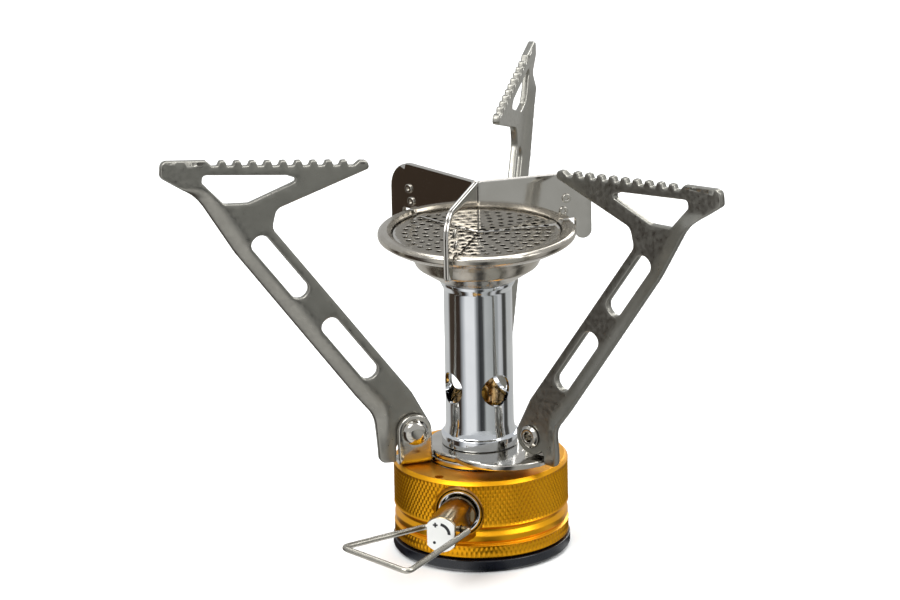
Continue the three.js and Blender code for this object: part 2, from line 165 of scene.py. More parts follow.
def gridFaces(rows, columns, wrapRows, wrapColumns):
    # quads between neighbouring rows and columns of a grid of points
    i = np.arange(rows if wrapRows else rows - 1)[:, None]
    j = np.arange(columns if wrapColumns else columns - 1)[None, :]
    i2, j2 = (i + 1) % rows, (j + 1) % columns
    quads = np.stack([i * columns + j, i * columns + j2, i2 * columns + j2, i2 * columns + j], -1)
    return quads.reshape(-1, 4)


def revolve(profile, sides, closed=True):
    # point(s, t) = (r(s) cos t, r(s) sin t, z(s)): the profile of radius and height turned about Z
    profile = np.asarray(profile, float)
    angle = np.linspace(0, 2 * np.pi, sides, endpoint=False)[None, :]
    r, z = profile[:, :1], profile[:, 1:2]
    points = np.stack([r * np.cos(angle), r * np.sin(angle), z + 0 * angle], -1)
    return points.reshape(-1, 3), gridFaces(len(profile), sides, closed, True)


def layAlong(points):
    # what was made about Z then lies along X
    return np.stack([points[:, 2], points[:, 1], -points[:, 0]], -1)


def bar(radius, low, high, sides):
    # a solid round bar about Z between two heights
    return revolve([[0, low], [radius, low], [radius, high], [0, high]], sides, closed=False)


def turnTo(points, azimuth, lift=0.0):
    # turned about Z to an azimuth in degrees, and lifted
    c, s = math.cos(math.radians(azimuth)), math.sin(math.radians(azimuth))
    x, y, z = points[:, 0], points[:, 1], points[:, 2]
    return np.stack([x * c - y * s, x * s + y * c, z + lift], -1)


def placeOnValve(points):
    # what was made about Z lies along the valve stem's axis
    return turnTo(layAlong(points), stemAzimuth, valveHeight)


def sweepAlong(path, radius, sides, normal):
    # A round section carried along a closed path: point(i, t) = path + radius (cos t outward + sin t upward),
    # where outward = direction x normal.
    along = unit(np.roll(path, -1, 0) - np.roll(path, 1, 0))
    outward = unit(np.cross(along, normal))
    upward = unit(np.cross(outward, along))
    angle = np.linspace(0, 2 * np.pi, sides, endpoint=False)[None, :, None]
    section = outward[:, None, :] * np.cos(angle) + upward[:, None, :] * np.sin(angle)
    points = path[:, None, :] + radius * section
    return points.reshape(-1, 3), gridFaces(len(path), sides, True, True)


def insetLoop(loop, distance):
    # each point moves along the mean of its two edges' left-hand normals
    before = unit(loop - np.roll(loop, 1, 0))
    after = unit(np.roll(loop, -1, 0) - loop)
    left = np.stack([-before[:, 1], before[:, 0]], -1)
    mean = unit(left + np.stack([-after[:, 1], after[:, 0]], -1))
    stretch = 1 / np.maximum((mean * left).sum(1, keepdims=True), 0.6)
    return loop + mean * stretch * distance


def insideOf(points, loops):
    # even-odd test against every edge of every loop at once
    inside = np.zeros(len(points), bool)
    for loop in loops:
        a, b = loop, np.roll(loop, -1, 0)
        x, y = points[:, :1], points[:, 1:2]
        spans = (a[None, :, 1] > y) != (b[None, :, 1] > y)
        rise = np.where(b[:, 1] == a[:, 1], 1e-12, b[:, 1] - a[:, 1])
        cross = a[None, :, 0] + (y - a[None, :, 1]) * (b[:, 0] - a[:, 0])[None, :] / rise[None, :]
        inside ^= ((spans & (x < cross)).sum(1) % 2).astype(bool)
    return inside


def loopArea(loop):
    after = np.roll(loop, -1, 0)
    return 0.5 * (loop[:, 0] * after[:, 1] - after[:, 0] * loop[:, 1]).sum()


def nearest(points, others):
    gaps = [np.linalg.norm(others[None, :, :] - block[:, None, :], axis=2).min(1)
        for block in np.array_split(points, max(1, len(points) // 400))]
    return np.concatenate(gaps)


def sheetSolid(outline, holes, thick, edge, fill, extra=None):
    # A flat sheet with punched holes and rounded edges, as points (x, y, height) and faces.
    # Rim rings: inset = edge (1 - cos a), height = half - edge + edge sin a, for a from 0 to 90 degrees.
    # The two faces share one triangulation.
    half = thick / 2
    turn = np.linspace(0, np.pi / 2, 4)
    insets = np.concatenate([edge * (1 - np.cos(turn[::-1])), edge * (1 - np.cos(turn))])
    heights = np.concatenate([-(half - edge + edge * np.sin(turn[::-1])), half - edge + edge * np.sin(turn)])
    loops = [outline if loopArea(outline) > 0 else outline[::-1]]
    loops += [hole if loopArea(hole) < 0 else hole[::-1] for hole in holes]
    points, faces, inner, count = [], [], [], 0
    topStarts, bottomStarts = [], []
    for loop in loops:
        rings = [np.column_stack([insetLoop(loop, inset), np.full(len(loop), height)])
            for inset, height in zip(insets, heights)]
        points += rings
        faces.append(gridFaces(len(rings), len(loop), False, True) + count)
        bottomStarts.append(count)
        topStarts.append(count + (len(rings) - 1) * len(loop))
        inner.append(rings[-1][:, :2])
        count += len(rings) * len(loop)
    rim = np.vstack(inner)
    low, high = rim.min(0) + fill / 2, rim.max(0)
    gx, gy = np.meshgrid(np.arange(low[0], high[0], fill), np.arange(low[1], high[1], fill))
    gx[1::2] += fill / 2
    within = np.column_stack([gx.ravel(), gy.ravel()])
    if extra is not None:
        extra = extra[insideOf(extra, inner) & (nearest(extra, rim) > fill * 0.35)]
        within = within[nearest(within, extra) > fill * 0.5] if len(extra) else within
        within = np.vstack([within, extra])
    within = within[insideOf(within, inner) & (nearest(within, rim) > fill * 0.35)]
    flat = np.vstack([rim, within])
    edges, start = [], 0
    for loop in inner:
        k = np.arange(len(loop))
        edges.append(np.column_stack([start + k, start + (k + 1) % len(loop)]))
        start += len(loop)
    found = delaunay_2d_cdt([Vector(p) for p in flat.tolist()], np.vstack(edges).tolist(), [], 0, 1e-7)
    if len(found[0]) != len(flat):
        raise ValueError("a sheet's outline crosses itself")
    triangles = np.array([tuple(f) for f in found[2]])
    triangles = triangles[insideOf(flat[triangles].mean(1), inner)]
    a, b, c = (flat[triangles[:, k]] for k in range(3))
    turned = (b[:, 0] - a[:, 0]) * (c[:, 1] - a[:, 1]) - (b[:, 1] - a[:, 1]) * (c[:, 0] - a[:, 0]) < 0
    triangles[turned] = triangles[turned][:, ::-1]
    rimTop = np.concatenate([s + np.arange(len(l)) for s, l in zip(topStarts, inner)])
    rimBottom = np.concatenate([s + np.arange(len(l)) for s, l in zip(bottomStarts, inner)])
    top = np.concatenate([rimTop, count + np.arange(len(within))])
    bottom = np.concatenate([rimBottom, count + len(within) + np.arange(len(within))])
    points.append(np.column_stack([within, np.full(len(within), half)]))
    points.append(np.column_stack([within, np.full(len(within), -half)]))
    return np.vstack(points), faces + [top[triangles], bottom[triangles][:, ::-1]]


def makePiece(name, points, faces, body, finish, replaced=(), sharp=35, merge=False):
    # one mesh at the origin from an array of points in mm and arrays of quads or triangles
    faces = faces if isinstance(faces, list) else [faces]
    mesh = bpy.data.meshes.new(name)
    mesh.from_pydata((points * mm).tolist(), [], [f for group in faces for f in group.tolist()])
    if merge:
        work = bmesh.new()
        work.from_mesh(mesh)
        bmesh.ops.remove_doubles(work, verts=work.verts, dist=1e-7)
        bmesh.ops.recalc_face_normals(work, faces=work.faces)
        work.to_mesh(mesh)
        work.free()
    piece = bpy.data.objects.new(name, mesh)
    bpy.context.scene.collection.objects.link(piece)
    finishMesh(piece, finish, sharp)
    if body:
        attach(piece, body)
    if replaced:
        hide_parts(*replaced)
    return piece


def finishMesh(piece, finish, sharp):
    mesh = piece.data
    mesh.materials.clear()
    mesh.materials.append(finishes.get(finish))
    mesh.shade_smooth()
    mesh.set_sharp_from_angle(angle=math.radians(sharp))


def cutAway(piece, cutters, finish, sharp):
    # takes the cutters out of the piece for good, and removes them
    for cutter in cutters:
        change = piece.modifiers.new("cut", "BOOLEAN")
        change.operation = "DIFFERENCE"
        change.solver = "MANIFOLD"
        change.object = cutter
    graph = bpy.context.evaluated_depsgraph_get()
    done = bpy.data.meshes.new_from_object(piece.evaluated_get(graph))
    piece.modifiers.clear()
    piece.data = done
    finishMesh(piece, finish, sharp)
    for cutter in cutters:
        bpy.data.objects.remove(cutter)


def cutter(points, faces):
    return makePiece("cutter", points, faces, None, None, merge=True)


def hexColour(text):
    # sRGB hex to the linear values that a shader takes
    parts = [int(text[i:i + 2], 16) / 255 for i in (1, 3, 5)]
    return tuple(p / 12.92 if p <= 0.04045 else ((p + 0.055) / 1.055) ** 2.4 for p in parts) + (1.0,)


def addNode(tree, kind, settings=None, links=None):
    # adds a node with its options, socket values and links
    node = tree.nodes.new("ShaderNode" + kind)
    for key, value in (settings or {}).items():
        if isinstance(key, str) and hasattr(node, key):
            setattr(node, key, value)
        else:
            node.inputs[key].default_value = value
    for key, source in (links or {}).items():
        tree.links.new(source, node.inputs[key])
    return node


def startMaterial(name):
    material = bpy.data.materials.new(name)
    material.use_nodes = True
    tree = material.node_tree
    tree.nodes.clear()
    place = addNode(tree, "TexCoord").outputs["Object"]
    return material, tree, place


def endMaterial(tree, settings, links):
    shader = addNode(tree, "BsdfPrincipled", settings, links)
    addNode(tree, "OutputMaterial", None, {"Surface": shader.outputs["BSDF"]})


def noise(tree, place, size, detail):
    settings = {"Scale": 1 / (size * mm), "Detail": detail}
    return addNode(tree, "TexNoise", settings, {"Vector": place}).outputs["Fac"]


def mixColours(tree, share, dark, light):
    return addNode(tree, "Mix", {"data_type": "RGBA", 6: hexColour(dark), 7: hexColour(light)},
        {0: share}).outputs[2]


def roughBetween(tree, value, band):
    # the middle of a noise, 0.3 to 0.7, spread over a band of roughness
    return addNode(tree, "MapRange", {"From Min": 0.3, "From Max": 0.7, "To Min": band[0], "To Max": band[1]},
        {"Value": value}).outputs["Result"]


def bumpFrom(tree, height, strength, depth):
    settings = {"Strength": strength, "Distance": depth * mm}
    return addNode(tree, "Bump", settings, {"Height": height}).outputs["Normal"]


def metalFinish(name, look):
    # A metal: two close colours mixed by a soft mottle, roughness from a second mottle, and a fine bump.
    # grain is (across, along Z) in mm, so unequal values draw streaks or rings.
    material, tree, place = startMaterial(name)
    mottle = noise(tree, place, look["mottle"], 3.0)
    across, along = (1 / (size * mm) for size in look["grain"])
    stretched = addNode(tree, "Mapping", {"Scale": (across, across, along)}, {"Vector": place})
    grain = addNode(tree, "TexNoise", {"Scale": 1.0, "Detail": 2.0, "Roughness": 0.6},
        {"Vector": stretched.outputs["Vector"]})
    smear = noise(tree, place, look["smear"], 4.0)
    endMaterial(tree, {"Metallic": 1.0}, {
        "Base Color": mixColours(tree, mottle, *look["tones"]),
        "Roughness": roughBetween(tree, smear, look["roughness"]),
        "Normal": bumpFrom(tree, grain.outputs["Fac"], look["bump"], look.get("depth", 0.02)),
    })
    return material


finishLooks = {
    # clear gold dye over bead-blasted and machined aluminium: satin, deep yellow
    "goldAnodisedAluminium": {
        "tones": ("#EBA012", "#F6B224"), "mottle": 8.0, "smear": 2.4, "grain": (0.16, 0.16),
        "roughness": (0.32, 0.4), "bump": 0.08,
    },
    # stainless sheet tumbled with stones: soft grey sheen with faint pits and smears
    "tumbledStainlessSheet": {
        "tones": ("#8B8982", "#A09E96"), "mottle": 4.0, "smear": 0.9, "grain": (0.22, 0.22),
        "roughness": (0.27, 0.42), "bump": 0.26, "depth": 0.03,
    },
    # bright rolled stainless: nearly a mirror, with light smears
    "polishedStainlessSheet": {
        "tones": ("#B4AFA6", "#CBC8C1"), "mottle": 5.0, "smear": 1.4, "grain": (0.5, 0.5),
        "roughness": (0.08, 0.2), "bump": 0.12,
    },
    # thin bright-annealed stainless: a mirror with the faintest smears
    "mirrorStainlessFoil": {
        "tones": ("#BDB9B2", "#CFCCC7"), "mottle": 6.0, "smear": 3.0, "grain": (1.2, 1.2),
        "roughness": (0.04, 0.09), "bump": 0.05,
    },
    # the valve's stem, turned and lightly brushed; its warm brown tones are a painted reflection of the gold
    # collar
    "brushedStemPaintedReflection": {
        "tones": ("#8C7C5E", "#A8977A"), "mottle": 5.0, "smear": 2.0, "grain": (0.6, 0.6),
        "roughness": (0.16, 0.24), "bump": 0.06,
    },
    # deep-drawn stainless, buffed on a lathe
    "buffedStainlessCup": {
        "tones": ("#A59E92", "#C6C1B7"), "mottle": 5.0, "smear": 1.5, "grain": (0.9, 0.15),
        "roughness": (0.14, 0.28), "bump": 0.18,
    },
    # bright chrome over a turned tube: mirror, with drawing lines that run up the tube
    "chromePlatedBrass": {
        "tones": ("#CDD0D4", "#E6E8EA"), "mottle": 8.0, "smear": 2.0, "grain": (0.35, 9.0),
        "roughness": (0.04, 0.11), "bump": 0.22,
    },
    # brass left as it came off the lathe
    "turnedBrass": {
        "tones": ("#A37A32", "#C79A4B"), "mottle": 3.0, "smear": 1.2, "grain": (0.8, 0.12),
        "roughness": (0.22, 0.36), "bump": 0.2,
    },
    # spring wire, drawn and tumbled
    "drawnSteelWire": {
        "tones": ("#A39F95", "#B7B3A9"), "mottle": 4.0, "smear": 2.0, "grain": (0.4, 0.4),
        "roughness": (0.22, 0.3), "bump": 0.08,
    },
    # woven wire cloth behind the plate, heat-darkened
    "steelGauze": {
        "tones": ("#0D0C0B", "#211F1C"), "mottle": 0.8, "smear": 0.5, "grain": (0.3, 0.3),
        "roughness": (0.4, 0.6), "bump": 0.9, "depth": 0.08,
    },
}
finishes = {name: metalFinish(name, look) for name, look in finishLooks.items()}


def softFinish(name, look):
    # a plastic or rubber: close dark tones, fine moulded grain, no metal
    material, tree, place = startMaterial(name)
    mottle = noise(tree, place, look["mottle"], 3.0)
    endMaterial(tree, {"Metallic": 0.0, "IOR": look["ior"]}, {
        "Base Color": mixColours(tree, mottle, *look["tones"]),
        "Roughness": roughBetween(tree, mottle, look["roughness"]),
        "Normal": bumpFrom(tree, noise(tree, place, look["grain"], 2.0), look["bump"], 0.03),
    })
    return material


softLooks = {
    # glass-filled nylon, moulded: blue-black with a soft gloss
    "mouldedNylon": {
        "tones": ("#06080F", "#0E131F"), "mottle": 4.0, "grain": 0.2, "roughness": (0.22, 0.34),
        "bump": 0.2, "ior": 1.53,
    },
    # nitrile seal: matt black
    "nitrileRubber": {
        "tones": ("#0D0D0D", "#1B1B1B"), "mottle": 1.5, "grain": 0.15, "roughness": (0.5, 0.65),
        "bump": 0.3, "ior": 1.52,
    },
}
finishes.update({name: softFinish(name, look) for name, look in softLooks.items()})


labelSet = {
    "paper": "#DADAD7", "shadow": "#D5D5D1",
    "ink": "#16161A",
    "plusAt": (-1.15, 2.25),  # mm sideways and up from the stem's axis
    "plusArm": 0.55,
    "line": 0.2,  # half the width of a printed line
    "arcAt": (-0.35, 0.25),
    "arcRadius": 2.25,
    "arcLine": 0.34,
    "arcFrom": 0.0,  # degrees
    "arcTo": 80.0,
    "dotAt": (-1.4, -1.75),
    "dotRadius": 0.34,
}


def printedFilm():
    look = labelSet
    material, tree, place = startMaterial("printedFilm")
    turned = addNode(tree, "Mapping", {
        "vector_type": "POINT", "Rotation": (0, 0, -math.radians(stemAzimuth)),
        "Location": (0, 0, -valveHeight), "Scale": (1000, 1000, 1000),
    }, {"Vector": place})
    split = addNode(tree, "SeparateXYZ", None, {0: turned.outputs["Vector"]})

    def maths(kind, a, b=0.0):
        values = {i: v for i, v in enumerate((a, b)) if isinstance(v, (int, float))}
        links = {i: v for i, v in enumerate((a, b)) if not isinstance(v, (int, float))}
        return addNode(tree, "Math", {"operation": kind, **values}, links).outputs[0]

    def narrower(value, half):
        return maths("LESS_THAN", maths("ABSOLUTE", value), half)

    def distanceFrom(middle):
        dx = maths("SUBTRACT", split.outputs["Y"], middle[0])
        dy = maths("SUBTRACT", split.outputs["Z"], middle[1])
        return dx, dy, maths("SQRT", maths("ADD", maths("MULTIPLY", dx, dx), maths("MULTIPLY", dy, dy)))

    dx, dy, reach = distanceFrom(look["plusAt"])
    bars = [maths("MULTIPLY", narrower(a, look["line"]), narrower(b, look["plusArm"]))
        for a, b in ((dx, dy), (dy, dx))]
    dx, dy, reach = distanceFrom(look["arcAt"])
    band = narrower(maths("SUBTRACT", reach, look["arcRadius"]), look["arcLine"])
    turnOf = maths("ARCTAN2", dy, dx)
    span = maths("MULTIPLY", maths("GREATER_THAN", turnOf, math.radians(look["arcFrom"])),
        maths("LESS_THAN", turnOf, math.radians(look["arcTo"])))
    dot = maths("LESS_THAN", distanceFrom(look["dotAt"])[2], look["dotRadius"])
    ink = maths("MAXIMUM", maths("MAXIMUM", *bars), maths("MAXIMUM", maths("MULTIPLY", band, span), dot))
    fibre = noise(tree, place, 0.4, 3.0)
    shade = addNode(tree, "Mix", {"data_type": "RGBA", 7: hexColour(look["ink"])},
        {0: ink, 6: mixColours(tree, fibre, look["shadow"], look["paper"])})
    endMaterial(tree, {"Roughness": 0.35, "IOR": 1.5}, {
        "Base Color": shade.outputs[2], "Normal": bumpFrom(tree, fibre, 0.15, 0.02),
    })
    return material


finishes["printedFilm"] = printedFilm()
print("materials made")


ringShape = {
    "bore": 12.4, "lip": 0.9, "footIn": 15.4, "footOut": 18.5, "round": 0.35, "sides": 160,
}


def makeBaseRing():
    r, out, top = ringShape, ringHigh[0], ringHigh[2]
    profile = roundCorners([
        [r["bore"], r["lip"], 0.2], [r["footIn"] - 0.8, r["lip"], 0.3], [r["footIn"], 0, 0.3],
        [r["footOut"], 0, 0.45], [out, 0.8, 0.5], [out, top, 0.25], [r["bore"], top, 0.2],
    ])
    points, faces = revolve(profile, r["sides"])
    makePiece("seatRing", points, faces, "base", "mouldedNylon", ["base_ring"])


makeBaseRing()

collarShape = {
    "knurls": 118,  # lozenges round the collar, about 1 mm apart
    "lozengeHeight": 1.75,
    "knurlDepth": 0.34,
    "flatTop": 0.1,  # share of the depth that the crests are blunted by
    "bands": ((3.55, 6.05), (10.45, 19.75)),  # heights between which the collar is knurled
    "recessRadius": 11.6, "recessFloor": 19.0,
    "bossHole": 6.6, "webHeight": 17.6, "bodyHole": 15.5,
    "portRadius": 5.25, "bevelFrom": 17.2, "bevelTo": 21.0, "bevelRadius": 8.45,
    "ventAt": (-9.0, -14.5), "ventRadius": 0.95,
    "notch": (10.5, 14.2, -2.4, 3.1),
}


def knurlDepth(turn, z):
    # Two crossing sets of V grooves: depth = max(ridge(u + v), ridge(u - v)), where u counts lozenges
    # round the collar and v counts them upwards.
    c = collarShape
    u = turn / (2 * np.pi) * c["knurls"]
    v = (z - c["bands"][1][0]) / c["lozengeHeight"]
    depth = np.clip((np.maximum(ridge(u + v), ridge(u - v)) - c["flatTop"]) / (1 - c["flatTop"]), 0, 1)
    fade = sum(smoothStep((z - low) / 0.25) * smoothStep((high - z) / 0.25) for low, high in c["bands"])
    return c["knurlDepth"] * depth * fade


def makeCollar():
    c, radius = collarShape, collarRadius
    low, top = collarLow[2], collarHigh[2]
    corners = [
        [radius - 0.6, low, 0.15], [radius, low + 0.5, 0.1], [radius, 6.1, 0.05], [radius - 0.65, 6.45, 0.15],
        [radius - 0.15, 7.2, 0.45], [radius - 0.15, 8.3, 0.6], [radius - 0.85, 9.15, 0.3],
        [radius - 0.85, 9.7, 0.15], [radius, 10.4, 0.08], [radius, top - 0.75, 0.12],
        [radius - 0.7, top, 0.15],
        [c["recessRadius"], top, 0.1], [c["recessRadius"], c["recessFloor"], 0.1],
        [c["bossHole"], c["recessFloor"], 0.1], [c["bossHole"], c["webHeight"], 0.1],
        [c["bodyHole"], c["webHeight"], 0.2], [c["bodyHole"], low, 0.15],
    ]
    profile = roundCorners(corners, 4)
    outside = profile[:, 0] > radius - 0.02
    rows = np.concatenate([np.arange(a, b, c["lozengeHeight"] / 4) for a, b in c["bands"]])
    rows = rows[nearest(rows[:, None], profile[outside][:, 1:2]) > 0.05]
    added = np.column_stack([np.full(len(rows), radius), rows])
    order = np.arange(len(profile), dtype=float)
    slots = np.interp(rows, profile[outside][:, 1], order[outside])
    profile = np.vstack([profile, added])[np.argsort(np.concatenate([order, slots]), kind="stable")]
    sides = c["knurls"] * 4
    points, faces = revolve(profile, sides)
    turn = np.tile(np.arange(sides) * 2 * np.pi / sides, len(profile))
    onSkin = np.repeat(profile[:, 0] > radius - 0.02, sides)
    shrink = np.where(onSkin, knurlDepth(turn, points[:, 2]), 0.0) / radius
    points[:, :2] *= (1 - shrink)[:, None]
    collar = makePiece("gripCollar", points, faces, "base", "goldAnodisedAluminium",
        ["base_collar"], sharp=38)
    port = bar(c["portRadius"], 10, 24, 96)
    cone = [[0, c["bevelFrom"]], [c["portRadius"] - 0.2, c["bevelFrom"]], [c["bevelRadius"], c["bevelTo"]],
        [0, c["bevelTo"]]]
    bevel = revolve(cone, 96, closed=False)
    cutters = [cutter(placeOnValve(p), f) for p, f in (port, bevel)]
    vent, ventFaces = bar(c["ventRadius"], top - 4, top + 1, 32)
    cutters.append(cutter(vent + np.array([*c["ventAt"], 0]), ventFaces))
    x0, x1, y0, y1 = c["notch"]
    plan = ((x0, y0), (x1, y0), (x1, y1), (x0, y1))
    block = np.array([[x, y, z] for z in (c["recessFloor"], top + 1) for x, y in plan])
    blockFaces = gridFaces(2, 4, False, True)
    blockFaces = np.vstack([[3, 2, 1, 0], [4, 5, 6, 7], blockFaces])
    cutters.append(cutter(turnTo(block, armAzimuth["rear"]), blockFaces))
    cutAway(collar, cutters, "goldAnodisedAluminium", 38)


makeCollar()
print("collar knurled and drilled")


valveShape = {
    "bodyRadius": 15.2, "bossRadius": 6.3, "socketRadius": 5.2, "socketTop": 11.2,
    "threadPitch": 0.907, "threadDepth": 0.5, "threadTop": 9.4,  # 28 threads to the inch
    "sides": 96,
    "glandBore": (5.1, 11.9, 20, 64), "needleBore": (2.1, 2, 12.5, 32),  # radius, from, to, sides
}


def makeValveBody():
    v = valveShape
    low, high = nodeBox("valve_body")
    outer = roundCorners([
        [v["socketRadius"] + 0.5, low[2], 0], [v["bodyRadius"], low[2], 0.3], [v["bodyRadius"], 17.3, 0.3],
        [v["bossRadius"], 17.3, 0.2], [v["bossRadius"], high[2], 0.3], [1.9, high[2], 0.2],
        [1.9, 23, 0], [0.7, 23, 0], [0.7, 12.4, 0], [1.3, 12.4, 0], [1.3, v["socketTop"], 0],
        [v["socketRadius"], v["socketTop"], 0],
    ])
    wall = np.arange(v["socketTop"] - 0.4, low[2] + 0.3, -v["threadPitch"] / 6)
    profile = np.vstack([outer, np.column_stack([np.full(len(wall), v["socketRadius"]), wall])])
    points, faces = revolve(profile, v["sides"])
    # thread: the socket's wall moves in by depth * ridge(z / pitch - turn)
    turn = np.tile(np.arange(v["sides"]) / v["sides"], len(profile))
    onWall = np.repeat(np.arange(len(profile)) >= len(outer), v["sides"])
    groove = ridge(points[:, 2] / v["threadPitch"] - turn)
    inside = smoothStep((v["threadTop"] - points[:, 2]) / 0.6)
    inside = inside * smoothStep((points[:, 2] - low[2] - 0.5) / 0.8)
    shrink = np.where(onWall, groove * v["threadDepth"] * inside / v["socketRadius"], 0.0)
    points[:, :2] *= (1 - shrink)[:, None]
    body = makePiece("valveBlock", points, faces, "base", "turnedBrass", ["valve_body"])
    cutters = [cutter(placeOnValve(p), f) for p, f in (bar(*v["glandBore"]), bar(*v["needleBore"]))]
    cutAway(body, cutters, "turnedBrass", 35)


makeValveBody()


glandShape = {
    # radius, distance along the stem and corner radius
    "profile": ((2.25, 12.1, 0), (4.95, 12.1, 0.1), (4.95, 17.25, 0.2), (4.6, 17.6, 0.12), (4.3, 17.6, 0.12),
                (4.3, 14.3, 0.1), (2.25, 14.3, 0.1)),
    "sides": 96,
}


def makeGland():
    points, faces = revolve(roundCorners(glandShape["profile"]), glandShape["sides"])
    makePiece("glandRing", placeOnValve(points), faces, "base",
        "chromePlatedBrass", ["gland_nut"])


makeGland()

stemShape = {
    "radius": 3.95, "flat": 3.15, "neck": 1.7, "groove": 1.1, "head": 14.9, "flatFrom": 18.9, "end": 31.6,
    "round": 0.35, "hole": 0.95, "sides": 96,
}


def makeStem():
    # A turned bar whose outer end is milled flat on both sides:
    # radius(turn) = min(full radius, flat / |cos turn|), with the corner between them eased.
    s = stemShape
    profile = roundCorners([
        [0, 6.5, 0], [s["neck"], 6.5, 0.2], [s["neck"], 9.6, 0.05], [s["groove"], 9.6, 0.05],
        [s["groove"], 12.6, 0.05],
        [s["neck"], 12.6, 0.05], [s["neck"], s["head"], 0.1], [s["radius"], s["head"], 0.3],
        [s["radius"], s["end"], s["round"]], [0, s["end"], 0],
    ])
    profile = denser(profile, 0.5, closed=False)
    points, faces = revolve(profile, s["sides"], closed=False)
    reach = np.hypot(points[:, 0], points[:, 1])
    side = np.abs(points[:, 1]) / np.maximum(reach, 1e-9)
    edgeDrop = s["radius"] - reach
    allowed = (s["flat"] - np.maximum(edgeDrop, 0)) / np.maximum(side, 1e-3)
    blend = smoothStep((points[:, 2] - s["flatFrom"]) / 0.5)
    isHead = points[:, 2] > s["head"] + 0.4
    eased = -np.log(np.exp(-np.clip(reach, 0, 9) * 14) + np.exp(-np.clip(allowed, 0, 9) * 14)) / 14
    milled = isHead & (reach > s["radius"] - s["round"] - 0.01)
    target = np.where(milled, eased * blend + reach * (1 - blend), reach)
    scale = np.where(reach > 1e-6, target / np.maximum(reach, 1e-9), 1)
    points[:, :2] *= scale[:, None]
    # the stem's finish paints the gold collar's reflection into its colour
    stem = makePiece("valveStem", placeOnValve(points), faces, "stem",
        "brushedStemPaintedReflection", ["valve_stem"], sharp=40, merge=True)
    axis = np.array(joints["bail_swing"]["axis"])
    place = np.array(joints["bail_swing"]["pos_m"]) / mm
    across = unit(np.cross(axis, [0, 0, 1.0]))
    over = np.cross(axis, across)
    drill, drillFaces = bar(s["hole"], -10, 10, 32)
    drill = place + drill[:, :1] * across + drill[:, 1:2] * over + drill[:, 2:3] * axis
    cutAway(stem, [cutter(drill, drillFaces)], "brushedStemPaintedReflection", 40)


makeStem()

bailShape = {
    "wire": 0.65,
    "half": 5.8,  # from the stem's axis to where the wire turns away from the hole
    "near": (42.6, -18.7, -0.5),  # corners as along the stem, sideways, and over its axis
    "far": (48.5, -2.5, -2.5),
    "bend": 1.6,
    "sides": 16,
}


def makeBail():
    # the closed wire: straight sides and a rounded bend at each of the four corners
    b = bailShape
    axis = -np.array(joints["bail_swing"]["axis"])
    place = np.array(joints["bail_swing"]["pos_m"]) / mm
    ends = turnTo(np.array([b["near"], b["far"]]), stemAzimuth, valveHeight)
    corners = np.array([place - axis * b["half"], ends[0], ends[1], place + axis * b["half"]])
    before = unit(np.roll(corners, 1, 0) - corners)
    after = unit(np.roll(corners, -1, 0) - corners)
    # a quadratic curve from corner + before * bend to corner + after * bend, pulled towards the corner
    t = np.linspace(0, 1, 12)[None, :, None]
    start, end = (corners + before * b["bend"])[:, None], (corners + after * b["bend"])[:, None]
    curve = (1 - t) ** 2 * start + 2 * t * (1 - t) * corners[:, None] + t ** 2 * end
    path = denser(curve.reshape(-1, 3), 0.8)
    normal = unit(np.cross(corners[1] - corners[0], corners[2] - corners[0]))
    points, faces = sweepAlong(path, b["wire"], b["sides"], normal)
    makePiece("wireBail", points, faces, "bail", "drawnSteelWire", ["wire_bail"],
        sharp=60, merge=True)


makeBail()
print("valve, stem and wire handle made")


tubeShape = {
    "bore": 6.6, "radius": 7.4, "flange": 8.4, "flangeTop": 26.0, "filletTop": 28.4, "flareFrom": 58.9,
    "flare": 8.1, "flareAt": 60.2, "sides": 144,
    "airHole": 3.5, "airHeight": 37.1, "airAzimuth": 32.0, "airCount": 4,
}


def makeTube():
    t, low, top = tubeShape, tubeLow[2], tubeHigh[2]
    profile = roundCorners([
        [t["bore"], low, 0.1], [t["flange"], low, 0.25], [t["flange"], t["flangeTop"], 0.25],
        [t["radius"] + 0.35, t["flangeTop"] + 0.35, 0.5], [t["radius"], t["filletTop"], 1.2],
        [t["radius"], t["flareFrom"], 0.8], [t["flare"], t["flareAt"], 0.25], [t["flare"], top, 0.15],
        [t["bore"], top, 0.1],
    ])
    profile = denser(profile, 1.2)
    points, faces = revolve(profile, t["sides"])
    tube = makePiece("mixingTube", points, faces, "base", "chromePlatedBrass",
        ["burner_tube"])
    hole, holeFaces = bar(t["airHole"], 2, 12, 64)
    azimuths = [t["airAzimuth"] + 360 / t["airCount"] * i for i in range(t["airCount"])]
    cutters = [cutter(turnTo(layAlong(hole), azimuth, t["airHeight"]), holeFaces) for azimuth in azimuths]
    cutAway(tube, cutters, "chromePlatedBrass", 35)


makeTube()


cupBottom, cupTop = cupLow[2], cupHigh[2]
cupShape = {
    # radius, height and corner radius: up the outside, over the rolled rim and down the inside
    "profile": (
        (6.7, cupBottom, 0.2), (8.4, cupBottom, 0.8), (13.3, cupBottom + 3.3, 1.6), (14.3, 66.6, 1.2),
        (15.1, 68.1, 0.8), (18.8, 68.9, 1.0), (20.3, 69.7, 0.7), (rimRadius, 70.5, 0.7),
        (rimRadius, 71.6, 0.75), (20.6, cupTop, 0.6), (19.3, cupTop, 0.5),
        (18.4, 71.6, 0.3), (18.4, 70.6, 0.3), (18, 69.9, 0.3),
        (14.6, 69.3, 0.5), (13.5, 67, 0.9), (12.6, 65.1, 1.0), (8, cupBottom + 0.9, 0.6),
        (6.7, cupBottom + 0.9, 0.2),
    ),
    "sides": 192,
}


def makeCup():
    points, faces = revolve(denser(roundCorners(cupShape["profile"], 7), 1.0), cupShape["sides"])
    makePiece("burnerCup", points, faces, "base", "buffedStainlessCup", ["burner_cup"],
        sharp=50)


makeCup()

